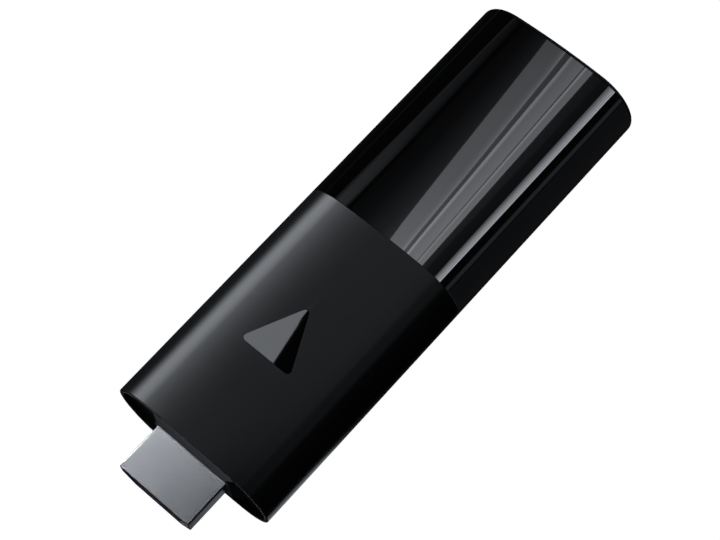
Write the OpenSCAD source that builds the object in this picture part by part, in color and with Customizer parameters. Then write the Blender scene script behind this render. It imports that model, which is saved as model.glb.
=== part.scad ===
// Stick-shaped streaming media player, in millimetres.
// +Y runs from the plug to the closed end, +Z is up through the face with the badge.
// The origin is on the surface the stick lies on, in the middle of its length and width.

/* [Casing] */
// Width of the casing
body_width = 29.7; // [24.7:0.1:36]
// Height of the casing
body_height = 15; // [12.5:0.1:18.2]
// Length of the casing, without the plug
body_length = 84.3; // [70:0.1:102]
// Length of the satin sleeve, from the plug end to the seam
sleeve_length = 42.2; // [35:0.1:51]
// How much higher the broad faces are at their middle than where the round sides begin
face_rise = 0.405; // [0.3:0.005:0.5]
// Wall of the sleeve and of the cap
wall = 1.3; // [1.05:0.05:1.6]
// Wall of the cap's closed end
end_wall = 1.5; // [1.2:0.1:1.8]
// Rounding of the cap's closed end
end_round = 0.8; // [0.5:0.1:1]

/* [Plug end] */
// Lip of the sleeve round the end plate
mouth_lip = 0.75; // [0.6:0.05:0.9]
// Depth from the lip to the end plate
mouth_recess = 0.9; // [0.7:0.1:1.1]
// Thickness of the end plate
bezel_thickness = 1.5; // [1.2:0.1:1.8]
// Width of the raised plinth round the plug, at its foot
plinth_width = 18.6; // [16.5:0.1:19]
// Height of the plinth at its foot
plinth_height = 8.6; // [8:0.1:9]
// How far the plinth's face stands out of the lip
plinth_proud = 0.1; // [0.05:0.05:0.2]
// Rim at the plinth's front, beside the plug
plinth_rim = 0.4; // [0.3:0.05:0.6]
// Rim at the plinth's front, above and below the plug
plinth_brow = 1.4; // [1:0.1:1.6]
// Thickness of the foam ring behind the end plate
gasket_thickness = 1.4; // [1.1:0.1:1.7]
// Band of foam round the plug
gasket_band = 1; // [0.8:0.1:1.2]

/* [HDMI plug] */
// Width of the plug shell
plug_width = 13.9; // [13.7:0.1:14]
// Height of the plug shell
plug_height = 4.45; // [4.3:0.05:4.55]
// Width of the plug shell's lower face
plug_foot_width = 9.2; // [8.8:0.1:9.8]
// How far below the plug's axis its sides start to slant
plug_slant = 0.3; // [0.1:0.1:0.6]
// How far the plug stands out of the sleeve's lip
plug_reach = 8.1; // [6.8:0.1:9.8]
// Height of the plug's axis above the surface that the stick lies on
plug_axis = 6; // [6:0.05:7.2]
// Sheet of the plug shell
plug_sheet = 0.3; // [0.25:0.05:0.35]
// Length of the plug shell behind the lip
plug_root = 5.6; // [5.2:0.1:6.2]
// Depth of the slot that takes the socket's tongue
tongue_slot_depth = 6; // [5:0.1:6.2]

/* [Badge] */
// Length of the play triangle, along the stick
badge_length = 9.2; // [7:0.1:11]
// Width of the play triangle's base
badge_width = 9; // [7:0.1:11]
// Radius of its corners
badge_corner = 0.7; // [0.4:0.1:1]
// Distance from the sleeve's lip to the middle of the badge
badge_place = 21.2; // [15:0.1:26]
// Thickness of the badge
badge_thickness = 0.4; // [0.3:0.05:0.5]
// Thickness of the adhesive film under it
film_thickness = 0.1; // [0.05:0.05:0.15]

/* [Tray and board] */
// Wall of the board tray
tray_wall = 0.8; // [0.65:0.05:0.95]
// Thickness of the circuit board
board_thickness = 1; // [0.8:0.1:1.2]
// Distance from the tray's edge to the board's edge
board_inset = 0.2; // [0.1:0.05:0.3]
// Radius of the screw bosses
boss_radius = 1.5; // [1.4:0.1:1.8]
// Radius of the screw shanks
screw_radius = 0.7; // [0.6:0.05:0.8]
// Distance from the board's edges to the screws
screw_inset = 2.3; // [2:0.1:2.6]

/* [Chips] */
// Side of the processor
processor_side = 12; // [10:0.5:13]
// Height of the processor
processor_height = 1.2; // [1:0.1:1.4]
// Length of the memory chip across the board
memory_length = 11; // [9:0.5:12]
// Width of the memory chip along the board
memory_width = 7.5; // [6:0.5:9]
// Side of the flash chip along the board
flash_length = 13; // [10:0.5:14]
// Side of the flash chip across the board
flash_width = 11.5; // [9:0.5:12]
// Height of the memory chip and the flash chip
store_height = 0.9; // [0.8:0.1:1]
// Side of the wireless module
module_side = 12; // [10:0.5:13]
// Height of the wireless module
module_height = 1.7; // [1.4:0.1:2]

/* [Shields and heat spreaders] */
// Sheet of the fences and their lids
can_sheet = 0.2; // [0.15:0.05:0.25]
// Height of the upper fence
upper_fence_height = 1.9; // [1.7:0.1:2]
// Height of the lower fence
lower_fence_height = 1.3; // [1.2:0.1:1.4]
// Length of both fences
fence_length = 25; // [23:0.5:26]
// Thickness of the upper heat pad
upper_pad_thickness = 0.9; // [0.7:0.1:1]
// Thickness of the lower heat pad
lower_pad_thickness = 0.4; // [0.3:0.1:0.4]
// Sheet of the upper heat spreader
upper_spreader_sheet = 0.8; // [0.6:0.1:0.9]
// Sheet of the lower heat spreader
lower_spreader_sheet = 0.5; // [0.4:0.1:0.6]

/* [Power inlet] */
// Width of the inlet shell
inlet_width = 7.5; // [7.4:0.1:7.8]
// Height of the inlet shell
inlet_height = 2.6; // [2.5:0.1:2.8]
// Depth of the inlet shell
inlet_depth = 5; // [4.8:0.1:5.6]
// Sheet of the inlet shell
inlet_sheet = 0.25; // [0.2:0.05:0.3]
// Distance from the sleeve's lip to the middle of the inlet
inlet_place = 16.5; // [15:0.1:17]
// Gap round the inlet in the sleeve's opening
inlet_margin = 0.4; // [0.3:0.05:0.5]
// Radius of the light pipe
pipe_radius = 0.6; // [0.5:0.05:0.7]
// Distance from the inlet's middle to the light pipe
pipe_place = 7.6; // [7:0.1:9]

/* [Fits] */
// Gap round a piece that is slid or laid into another
slide_gap = 0.1; // [0.05:0.01:0.15]
// Gap round a piece that is pushed in and stays put
seat_gap = 0.04; // [0.02:0.01:0.06]
// Space kept between the board's pieces
part_space = 0.6; // [0.4:0.1:0.8]

/* [Hidden] */

// How finely curves are drawn: long casing curves, ordinary rounds, small rounds
fine = 240;
round_steps = 72;
small_steps = 32;
corner_steps = 6;
// Length by which a cut runs past the face it opens
over = 1;

// The stick's main planes along Y and Z
tip_y = -(body_length + plug_reach) / 2;
lip_y = tip_y + plug_reach;
seam_y = lip_y + sleeve_length;
end_y = lip_y + body_length;
mid_z = body_height / 2;

// The oval section: two round sides joined by two very flat arcs, all tangent
side_radius = body_height / 2 - face_rise;
side_centre = body_width / 2 - side_radius;
face_radius = (pow(side_centre, 2) + pow(body_height / 2, 2) - pow(side_radius, 2)) / (2 * face_rise);
face_centre = face_radius - body_height / 2;
function tangent_x(inset) =
    side_centre * (face_radius - inset) / (face_radius - side_radius);
function tangent_z(inset) =
    face_centre * (side_radius - inset) / (face_radius - side_radius);
// Half width of the oval, taken in by inset, at height z
function half_width(z, inset) =
    let (rise = abs(z - mid_z))
    rise <= tangent_z(inset)
        ? side_centre + sqrt(pow(side_radius - inset, 2) - pow(rise, 2))
        : sqrt(pow(face_radius - inset, 2) - pow(rise + face_centre, 2));
// Half width at the narrower end of a band from height low to height high
function narrowest(low, high, inset) =
    min(half_width(low, inset), half_width(high, inset));

// Plug end, from the lip inwards
bezel_front = lip_y + mouth_recess;
bezel_back = bezel_front + bezel_thickness;
plinth_front = lip_y - plinth_proud;
plinth_foot = 0.1;
gasket_back = bezel_back + gasket_thickness;
shell_back = lip_y + plug_root;
plinth_corner = 1;

// Plug: the socket's tongue slot and the two rows of strips
insulator_setback = 0.5;
insulator_front = tip_y + insulator_setback;
insulator_back = shell_back + 0.6;
strip_pitch = 1;
strip_width = 0.35;
strip_thickness = 0.2;
strip_bed = 0.08;
upper_strips = 10;
lower_strips = 9;
strip_front = insulator_front + 1;
strip_tail = 2.2;
tongue_slot_width = 11.4;
tongue_slot_height = board_thickness + 2 * strip_bed;
tab_height = 3;
tab_length = 2.6;

// Board
board_bottom = plug_axis - board_thickness / 2;
board_top = plug_axis + board_thickness / 2;
board_front = insulator_back + slide_gap;
board_back = end_y - end_wall - 1.2;
tray_outer = wall + slide_gap;
tray_inner = tray_outer + tray_wall;
tray_front = gasket_back + 3 * slide_gap;
tray_back = board_back + part_space;
board_half = half_width(board_bottom, tray_outer) - board_inset;
screw_front_y = board_front + 5.4;
screw_back_y = board_back - screw_inset;
screw_x = board_half - screw_inset;
screw_places = [[screw_x, screw_front_y], [screw_x, screw_back_y], [-screw_x, screw_back_y]];
screw_head_radius = 1.3;
screw_head_height = 0.6;
screw_length = 3;

// Rows of pieces along the board
fence_front = lip_y + inlet_place + inlet_width / 2 + part_space;
fence_back = fence_front + fence_length;
fence_mid = (fence_front + fence_back) / 2;
chip_inset = 2 * part_space;
processor_y = fence_front + chip_inset + processor_side / 2;
memory_y = processor_y + processor_side / 2 + part_space + memory_width / 2;
flash_y = fence_front + chip_inset + flash_length / 2;
controller_side = 4;
controller_height = 0.8;
controller_y = flash_y + flash_length / 2 + part_space + controller_side / 2;
module_y = board_back - 2 * screw_inset - module_side / 2;
antenna_length = 12;
antenna_height = 4;
antenna_sheet = 0.2;
antenna_inset = 0.5;
antenna_gap = 0.3;
antenna_x = min(board_half - antenna_inset, half_width(board_top + antenna_height, wall) - antenna_gap);
antenna_slot = 0.5;

// Joint between the sleeve and the cap
spigot_wall = 0.8;
spigot_length = 4;
spigot_root = 2;
spigot_inset = wall + seat_gap;
spigot_low_z = board_top + 0.6;
hook_width = 4.5;
hook_depth = 0.9;
hook_rise = 0.45;
hook_x = 4.6;
hook_y = seam_y - 2.4;
ceiling_z = body_height - wall;

// Upper stack: fence, lid, pad, spreader
upper_lid_z = board_top + upper_fence_height;
upper_pad_z = upper_lid_z + can_sheet;
upper_plate_z = upper_pad_z + upper_pad_thickness;
upper_top_z = upper_plate_z + upper_spreader_sheet;
spreader_gap = 0.4;
upper_half = half_width(upper_top_z, spigot_inset + spigot_wall) - spreader_gap;
upper_fence_half = upper_half - upper_spreader_sheet - spreader_gap - can_sheet - seat_gap;
lid_skirt = 1.1;
leg_width = 1.6;
leg_inset = 4;

// Lower stack, downwards from the board
lower_lid_z = board_bottom - lower_fence_height;
lower_pad_z = lower_lid_z - can_sheet;
lower_plate_z = lower_pad_z - lower_pad_thickness;
lower_bottom_z = lower_plate_z - lower_spreader_sheet;
lower_half = half_width(lower_bottom_z, tray_inner) - spreader_gap;
lower_fence_half = half_width(lower_lid_z, tray_inner) - spreader_gap - can_sheet - seat_gap;

// Power inlet and status light, in the sleeve's left side
inlet_y = lip_y + inlet_place;
inlet_axis = board_top + inlet_height / 2;
inlet_mouth = -narrowest(board_top, board_top + inlet_height, wall) + slide_gap;
inlet_back = inlet_mouth + inlet_depth;
inlet_slant = 0.9;
inlet_strips = 5;
inlet_pitch = 0.65;
inlet_strip_width = 0.25;
inlet_strip_thickness = 0.12;
tongue_thickness = 0.6;
tongue_width = 3.7;
tongue_setback = 0.8;
inlet_block = 1;
pipe_y = inlet_y + pipe_place;
pipe_flange_radius = pipe_radius + 0.25;
pipe_axis = board_top + pipe_flange_radius + slide_gap;
pipe_flange = 0.5;
pipe_flange_x = -narrowest(pipe_axis - pipe_flange_radius, pipe_axis + pipe_flange_radius, wall);
light_x = pipe_flange_x + pipe_flange + 2 * slide_gap;
light_size = [0.8, 1.6, 1.3];

/* Shared shapes */

// Extrudes a section drawn in X and Z from y0 to y1
module along_y(y0, y1) {
    translate([0, y1, 0])
        rotate([90, 0, 0])
            linear_extrude(y1 - y0)
                children();
}

// Extrudes a section drawn in Y and Z from x0 to x1
module along_x(x0, x1) {
    translate([x0, 0, 0])
        rotate([90, 0, 90])
            linear_extrude(x1 - x0)
                children();
}

// A block given by its low corner and its high corner
module block(low, high) {
    translate(low)
        cube(high - low);
}

// A block centred on X and Y that stands on height z
module chip(x, y, z, size) {
    translate([x - size[0] / 2, y - size[1] / 2, z])
        cube(size);
}

// The casing's oval section, taken in by inset
module oval(inset = 0) {
    translate([0, mid_z]) {
        intersection() {
            square([2 * tangent_x(inset), 2 * body_height], center = true);
            translate([0, -face_centre])
                circle(face_radius - inset, $fn = fine);
            translate([0, face_centre])
                circle(face_radius - inset, $fn = fine);
        }
        for (side = [-1, 1])
            translate([side * side_centre, 0])
                circle(side_radius - inset, $fn = round_steps);
    }
}

// A disc about Y with its far edge rounded
module round_ended_disc(radius, y0, y1, edge) {
    length = y1 - y0;
    translate([0, y0, 0])
        rotate([-90, 0, 0])
            rotate_extrude($fn = fine) {
                square([radius - edge, length]);
                square([radius, length - edge]);
                translate([radius - edge, length - edge])
                    intersection() {
                        circle(edge, $fn = small_steps);
                        square(edge);
                    }
            }
}

// The casing's outer form with its far edge rounded, in four sectors that meet on
// planes through the centres of both arcs
module round_ended_oval(y0, y1, edge) {
    far_x = 3 * side_centre;
    far_z = 2 * face_centre;
    translate([0, 0, mid_z])
        for (side = [-1, 1]) {
            intersection() {
                translate([0, 0, -side * face_centre])
                    round_ended_disc(face_radius, y0, y1, edge);
                along_y(y0 - over, y1 + over)
                    polygon([[-side_centre, 0], [-far_x, side * far_z], [far_x, side * far_z], [side_centre, 0]]);
            }
            intersection() {
                translate([side * side_centre, 0, 0])
                    round_ended_disc(side_radius, y0, y1, edge);
                along_y(y0 - over, y1 + over)
                    polygon([[side * side_centre, 0], [side * far_x, far_z], [side * far_x, -far_z]]);
            }
        }
}

// The plug's section, grown by extra on every side
module plug_section(extra = 0) {
    half = plug_width / 2 + extra;
    foot = plug_foot_width / 2 + extra;
    high = plug_height / 2 + extra;
    slant = plug_slant;
    translate([0, plug_axis])
        polygon([[-half, high], [-half, -slant], [-foot, -high], [foot, -high], [half, -slant], [half, high]]);
}

// The inlet's section in Y and Z, grown by extra on every side
module inlet_section(extra = 0) {
    half = inlet_width / 2 + extra;
    high = inlet_height / 2 + extra;
    foot = half - inlet_slant;
    translate([inlet_y, inlet_axis])
        polygon([[-half, high], [-half, 0], [-foot, -high], [foot, -high], [half, 0], [half, high]]);
}

// Points along an arc
function arc_points(centre, radius, start, sweep) =
    [for (step = [0 : corner_steps])
        let (angle = start + sweep * step / corner_steps)
        centre + radius * [cos(angle), sin(angle)]];

// A rounded play triangle that points along +Y, taken in by inset
module play_triangle(inset = 0) {
    corner = badge_corner - inset;
    reach = badge_length / 2 - badge_corner;
    span = badge_width / 2 - badge_corner;
    slope = atan2(span, 2 * reach);
    translate([0, lip_y + badge_place])
        polygon(concat(
            arc_points([span, -reach], corner, -90, 90 + slope),
            arc_points([0, reach], corner, slope, 180 - 2 * slope),
            arc_points([-span, -reach], corner, 180 - slope, 90 + slope)));
}

// The layer of the casing between two insets, over the badge's outline
module badge_layer(outer_inset, inner_inset, outline_inset) {
    intersection() {
        difference() {
            along_y(lip_y, seam_y)
                oval(outer_inset);
            along_y(lip_y - over, seam_y + over)
                oval(inner_inset);
        }
        translate([0, 0, mid_z])
            linear_extrude(body_height)
                play_triangle(outline_inset);
    }
}

// A fence soldered round its chips: a thin wall with an inward rim at its open top
module fence(half, z, height) {
    rim = 0.8;
    difference() {
        block([-half, fence_front, z], [half, fence_back, z + height]);
        block([-half + can_sheet, fence_front + can_sheet, z - over],
            [half - can_sheet, fence_back - can_sheet, z + height - can_sheet]);
        block([-half + rim, fence_front + rim, z],
            [half - rim, fence_back - rim, z + height + over]);
    }
}

// A lid pressed over a fence: a plate on top with a skirt outside
module lid(half, z, skirt) {
    outside = can_sheet + seat_gap;
    difference() {
        block([-half - outside, fence_front - outside, z - skirt],
            [half + outside, fence_back + outside, z + can_sheet]);
        block([-half - seat_gap, fence_front - seat_gap, z - skirt - over],
            [half + seat_gap, fence_back + seat_gap, z]);
    }
}

// Turns a piece upside down about the board's middle plane
module under_board() {
    translate([0, 0, 2 * plug_axis])
        mirror([0, 0, 1])
            children();
}

// A stamped antenna standing on the board, with two feet and one slot
module antenna() {
    foot = 1.4;
    lift = 1;
    along_x(-antenna_sheet / 2, antenna_sheet / 2)
        translate([module_y - antenna_length / 2, board_top])
            difference() {
                square([antenna_length, antenna_height]);
                translate([foot, -over])
                    square([foot, lift + over]);
                translate([3 * foot, -over])
                    square([antenna_length, lift + over]);
                translate([2 * foot, 2 * lift])
                    square([antenna_length, antenna_slot]);
            }
}

/* Casing */

module front_sleeve() {
    rib = 0.8;
    rib_x = 5.6;
    stop_x = 8;
    color([0.12, 0.125, 0.13])
        difference() {
            union() {
                difference() {
                    along_y(lip_y, seam_y)
                        oval();
                    along_y(lip_y - over, seam_y + over)
                        oval(wall);
                }
                // Ribs under the ceiling keep the board stack down
                intersection() {
                    along_y(fence_front, seam_y - spigot_length - part_space)
                        oval(wall / 2);
                    for (side = [-1, 1])
                        block([side * rib_x - rib / 2, lip_y, upper_top_z + slide_gap],
                            [side * rib_x + rib / 2, seam_y, body_height]);
                }
                // Stops on the floor take the tray's push when the plug goes in
                intersection() {
                    along_y(bezel_back, tray_front - slide_gap)
                        oval(wall / 2);
                    for (side = [-1, 1])
                        block([side * stop_x - rib, lip_y, 0],
                            [side * stop_x + rib, seam_y, wall + face_rise + tray_wall]);
                }
            }
            // Seat of the end plate
            along_y(lip_y - over, bezel_back)
                oval(mouth_lip);
            // Pocket of the badge and its film
            badge_layer(-over, badge_thickness + film_thickness, -seat_gap);
            // Opening of the power inlet
            along_x(-body_width, -body_width / 4)
                inlet_section(inlet_margin);
            // Hole of the light pipe
            translate([-body_width, pipe_y, pipe_axis])
                rotate([0, 90, 0])
                    cylinder(h = body_width * 3 / 4, r = pipe_radius + seat_gap, $fn = small_steps);
            // Pockets of the snap hooks
            for (side = [-1, 1])
                block([side * hook_x - hook_width / 2 - slide_gap, hook_y - hook_depth / 2 - slide_gap, mid_z],
                    [side * hook_x + hook_width / 2 + slide_gap, hook_y + hook_depth / 2 + slide_gap,
                        ceiling_z - seat_gap + hook_rise + slide_gap]);
        }
}

module gloss_cap() {
    color([0.03, 0.03, 0.035]) {
        difference() {
            round_ended_oval(seam_y, end_y, end_round);
            along_y(seam_y - over, end_y - end_wall)
                oval(wall);
        }
        // Spigot over the upper half, with its root inside the cap
        difference() {
            union() {
                along_y(seam_y - spigot_length, seam_y + spigot_root)
                    oval(spigot_inset);
                along_y(seam_y, seam_y + spigot_root)
                    oval(wall / 2);
                for (side = [-1, 1])
                    block([side * hook_x - hook_width / 2, hook_y - hook_depth / 2, mid_z],
                        [side * hook_x + hook_width / 2, hook_y + hook_depth / 2,
                            ceiling_z - seat_gap + hook_rise]);
            }
            along_y(seam_y - spigot_length - over, seam_y + spigot_root + over)
                oval(spigot_inset + spigot_wall);
            block([-body_width, seam_y - spigot_length - over, -over],
                [body_width, seam_y + spigot_root + over, spigot_low_z]);
        }
    }
}

// Outline of the plinth's foot, with rounded corners
module plinth_section() {
    half = plinth_width / 2;
    high = plinth_height / 2;
    translate([0, plug_axis]) {
        square([2 * half, 2 * (high - plinth_corner)], center = true);
        square([2 * (half - plinth_corner), 2 * high], center = true);
        for (x = [-1, 1], z = [-1, 1])
            translate([x * (half - plinth_corner), z * (high - plinth_corner)])
                circle(plinth_corner, $fn = small_steps);
    }
}

// Where one of the plinth's slopes has come to at y, from outer at its foot to inner at its front
function slope_at(y, outer, inner) =
    inner + (outer - inner) * (y - plinth_front) / (bezel_front - plinth_foot - plinth_front);

// The plinth's four slopes, running on into the end plate
module plinth_slopes() {
    back = bezel_back + over;
    front_half = plug_width / 2 + plinth_rim;
    front_high = plug_height / 2 + plinth_brow;
    back_half = slope_at(back, plinth_width / 2, front_half);
    back_high = slope_at(back, plinth_height / 2, front_high);
    intersection() {
        along_x(-body_width, body_width)
            translate([0, plug_axis])
                polygon([[plinth_front, -front_high], [plinth_front, front_high],
                    [back, back_high], [back, -back_high]]);
        translate([0, 0, -body_height])
            linear_extrude(3 * body_height)
                polygon([[-front_half, plinth_front], [front_half, plinth_front],
                    [back_half, back], [-back_half, back]]);
    }
}

module end_bezel() {
    color([0.09, 0.09, 0.095])
        difference() {
            union() {
                along_y(bezel_front, bezel_back)
                    oval(mouth_lip + seat_gap);
                intersection() {
                    along_y(plinth_front - over, bezel_back)
                        plinth_section();
                    plinth_slopes();
                }
            }
            along_y(plinth_front - over, bezel_back + over)
                plug_section(slide_gap);
        }
}

module badge() {
    color([0.35, 0.36, 0.38])
        badge_layer(0, badge_thickness, 0);
}

module badge_adhesive() {
    color([0.6, 0.6, 0.55])
        badge_layer(badge_thickness, badge_thickness + film_thickness, badge_corner / 3);
}

/* HDMI plug */

module plug_shell() {
    color([0.72, 0.72, 0.74]) {
        difference() {
            along_y(tip_y, shell_back)
                plug_section();
            along_y(tip_y - over, shell_back + over)
                plug_section(-plug_sheet);
        }
        // Tabs at the back, soldered into the board's edge
        for (side = [-1, 1])
            block([side * (plug_width - plug_sheet) / 2 - plug_sheet / 2, shell_back - over, plug_axis],
                [side * (plug_width - plug_sheet) / 2 + plug_sheet / 2, board_front + tab_length,
                    plug_axis + tab_height / 2]);
    }
}

// One row of contact strips on the side of the slot given by side
module contact_row(count, side) {
    face = plug_axis + side * (board_thickness + strip_thickness) / 2;
    for (place = [0 : count - 1])
        translate([(place - (count - 1) / 2) * strip_pitch, 0, face])
            block([-strip_width / 2, strip_front, -strip_thickness / 2],
                [strip_width / 2, board_front + strip_tail, strip_thickness / 2]);
}

module plug_insulator() {
    bed = strip_width + 2 * seat_gap;
    color([0.06, 0.06, 0.06])
        difference() {
            along_y(insulator_front, insulator_back)
                plug_section(-plug_sheet - seat_gap);
            // Slot for the tongue of the socket
            block([-tongue_slot_width / 2, tip_y - over, plug_axis - tongue_slot_height / 2],
                [tongue_slot_width / 2, insulator_front + tongue_slot_depth, plug_axis + tongue_slot_height / 2]);
            // Grooves in which the strips lie
            for (row = [[upper_strips, 1], [lower_strips, -1]], place = [0 : row[0] - 1])
                translate([(place - (row[0] - 1) / 2) * strip_pitch, 0,
                    plug_axis + row[1] * (board_thickness + strip_thickness) / 2])
                    block([-bed / 2, strip_front - seat_gap, -strip_thickness / 2 - seat_gap],
                        [bed / 2, insulator_back + over, strip_thickness / 2 + seat_gap]);
        }
}

module plug_contacts_upper() {
    color([0.85, 0.68, 0.3])
        contact_row(upper_strips, 1);
}

module plug_contacts_lower() {
    color([0.85, 0.68, 0.3])
        contact_row(lower_strips, -1);
}

module plug_gasket() {
    color([0.25, 0.25, 0.26])
        along_y(bezel_back, gasket_back)
            difference() {
                plug_section(gasket_band);
                plug_section();
            }
}

/* Tray and board */

module board_tray() {
    color([0.2, 0.2, 0.21])
        difference() {
            union() {
                intersection() {
                    difference() {
                        along_y(tray_front, tray_back)
                            oval(tray_outer);
                        along_y(tray_front - over, tray_back + over)
                            oval(tray_inner);
                    }
                    block([-body_width, tray_front, 0], [body_width, tray_back, board_bottom]);
                }
                // Bosses that the board is screwed down on
                intersection() {
                    along_y(tray_front, tray_back)
                        oval(tray_outer + tray_wall / 2);
                    for (place = screw_places)
                        translate([place[0], place[1], 0])
                            cylinder(h = board_bottom, r = boss_radius, $fn = small_steps);
                }
            }
            for (place = screw_places)
                translate([place[0], place[1], board_top - screw_length - slide_gap])
                    cylinder(h = body_height, r = screw_radius + seat_gap / 2, $fn = small_steps);
        }
}

module main_board() {
    notch = plug_sheet + 2 * slide_gap;
    color([0.05, 0.24, 0.16])
        difference() {
            block([-board_half, board_front, board_bottom], [board_half, board_back, board_top]);
            for (place = screw_places)
                translate([place[0], place[1], board_bottom - over])
                    cylinder(h = board_thickness + 2 * over, r = screw_radius + slide_gap, $fn = small_steps);
            // Notches for the tabs of the plug shell
            for (side = [-1, 1])
                chip(side * (plug_width - plug_sheet) / 2, board_front + tab_length / 2, board_bottom - over,
                    [notch, tab_length + 2 * slide_gap, board_thickness + 2 * over]);
            // Slots for the legs of the upper spreader
            for (leg = leg_places())
                chip(leg[0], leg[1], board_bottom - over,
                    [upper_spreader_sheet + 2 * slide_gap, leg_width + 2 * slide_gap, board_thickness + 2 * over]);
        }
}

module board_screws() {
    cross_depth = 0.35;
    cross_width = 0.3;
    cross_length = 1.5;
    color([0.62, 0.62, 0.64])
        for (place = screw_places)
            translate([place[0], place[1], board_top]) {
                difference() {
                    cylinder(h = screw_head_height, r = screw_head_radius, $fn = small_steps);
                    for (turn = [0, 90])
                        rotate([0, 0, turn])
                            translate([-cross_length / 2, -cross_width / 2, screw_head_height - cross_depth])
                                cube([cross_length, cross_width, cross_depth + over]);
                }
                translate([0, 0, -screw_length])
                    cylinder(h = screw_length, r = screw_radius, $fn = small_steps);
            }
}

/* Chips and small parts */

module processor() {
    color([0.1, 0.1, 0.11])
        chip(0, processor_y, board_top, [processor_side, processor_side, processor_height]);
}

module memory_chip() {
    color([0.1, 0.1, 0.11])
        chip(0, memory_y, board_top, [memory_length, memory_width, store_height]);
}

module flash_chip() {
    color([0.1, 0.1, 0.11])
        chip(0, flash_y, board_bottom - store_height, [flash_width, flash_length, store_height]);
}

module power_controller() {
    color([0.1, 0.1, 0.11])
        chip(0, controller_y, board_bottom - controller_height,
            [controller_side, controller_side, controller_height]);
}

module power_inductors() {
    side = 2.5;
    height = 1;
    color([0.3, 0.3, 0.32])
        for (place = [-1, 1])
            chip(place * (controller_side / 2 + part_space + side / 2), controller_y,
                board_bottom - height, [side, side, height]);
}

module wireless_module() {
    base = 0.4;
    color([0.7, 0.7, 0.72]) {
        chip(0, module_y, board_top, [module_side, module_side, base]);
        chip(0, module_y, board_top, [module_side - 2 * base, module_side - 2 * base, module_height]);
    }
}

module wifi_antenna() {
    color([0.75, 0.72, 0.6])
        translate([antenna_x, 0, 0])
            antenna();
}

module bluetooth_antenna() {
    color([0.75, 0.72, 0.6])
        translate([-antenna_x, 0, 0])
            antenna();
}

module crystals() {
    size = [2.5, 2, 0.7];
    color([0.75, 0.75, 0.76])
        for (place = [-1, 1])
            chip(place * (size[0] + part_space), module_y - module_side / 2 - part_space - size[1] / 2,
                board_top, size);
}

// A row of small parts on the underside, behind the lower fence
module small_row(count, y, size) {
    pitch = size[0] + part_space;
    for (place = [0 : count - 1])
        chip((place - (count - 1) / 2) * pitch, y, board_bottom - size[2], size);
}

module capacitors() {
    size = [0.8, 1.6, 0.8];
    color([0.62, 0.5, 0.36])
        for (row = [0, 1])
            small_row(8, fence_back + 2 * part_space + size[1] / 2 + row * (size[1] + part_space), size);
}

module resistors() {
    size = [0.6, 1, 0.35];
    color([0.12, 0.12, 0.13])
        small_row(10, board_back - 2 * screw_inset - part_space, size);
}

module surge_arrays() {
    size = [2.5, 1, 0.5];
    color([0.12, 0.12, 0.13])
        for (place = [-1 : 1])
            chip(place * (size[0] + part_space), board_front + strip_tail + part_space + size[1] / 2,
                board_top, size);
}

/* Shields, heat pads and heat spreaders */

module upper_fence() {
    color([0.7, 0.7, 0.7])
        fence(upper_fence_half, board_top, upper_fence_height);
}

module upper_lid() {
    color([0.74, 0.74, 0.74])
        lid(upper_fence_half, upper_lid_z, lid_skirt);
}

module lower_fence() {
    color([0.7, 0.7, 0.7])
        under_board()
            fence(lower_fence_half, board_top, lower_fence_height);
}

module lower_lid() {
    color([0.74, 0.74, 0.74])
        under_board()
            lid(lower_fence_half, board_top + lower_fence_height, lid_skirt / 2);
}

module processor_pad() {
    color([0.55, 0.6, 0.7])
        chip(0, processor_y, board_top + processor_height,
            [processor_side, processor_side, upper_fence_height - processor_height]);
}

module upper_pad() {
    color([0.55, 0.6, 0.7])
        block([-upper_fence_half, fence_front, upper_pad_z], [upper_fence_half, fence_back, upper_plate_z]);
}

module flash_pad() {
    color([0.55, 0.6, 0.7])
        chip(0, flash_y, lower_lid_z, [flash_width, flash_length, lower_fence_height - store_height]);
}

module lower_pad() {
    half = min(lower_half, lower_fence_half);
    color([0.55, 0.6, 0.7])
        block([-half, fence_front, lower_plate_z], [half, fence_back, lower_pad_z]);
}

// Middles of the four legs of the upper spreader
function leg_places() = [
    for (x = [-1, 1], y = [-1, 1])
        [x * (upper_half - upper_spreader_sheet / 2), fence_mid + y * (fence_length / 2 - leg_inset)]];

module upper_spreader() {
    flange = upper_spreader_sheet;
    leg_end = board_bottom + slide_gap;
    color([0.78, 0.79, 0.8]) {
        block([-upper_half, fence_front, upper_plate_z], [upper_half, fence_back, upper_top_z]);
        for (side = [-1, 1])
            translate([side * (upper_half - flange / 2), 0, 0])
                block([-flange / 2, fence_front, board_top], [flange / 2, fence_back, upper_top_z]);
        for (leg = leg_places())
            chip(leg[0], leg[1], leg_end, [flange, leg_width, upper_plate_z - leg_end]);
    }
}

module lower_spreader() {
    color([0.78, 0.79, 0.8])
        block([-lower_half, fence_front, lower_bottom_z], [lower_half, fence_back, lower_plate_z]);
}

/* Power inlet and status light */

module inlet_shell() {
    color([0.74, 0.74, 0.75])
        difference() {
            along_x(inlet_mouth, inlet_back)
                inlet_section();
            along_x(inlet_mouth - over, inlet_back - inlet_sheet)
                inlet_section(-inlet_sheet);
        }
}

module inlet_tongue() {
    block_front = inlet_back - inlet_sheet - inlet_block;
    color([0.07, 0.07, 0.07])
        difference() {
            union() {
                along_x(block_front, inlet_back - inlet_sheet)
                    inlet_section(-inlet_sheet - seat_gap);
                block([inlet_mouth + tongue_setback, inlet_y - tongue_width / 2, inlet_axis - tongue_thickness / 2],
                    [block_front + over / 2, inlet_y + tongue_width / 2, inlet_axis + tongue_thickness / 2]);
            }
            inlet_strip_set(seat_gap / 2);
        }
}

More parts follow.
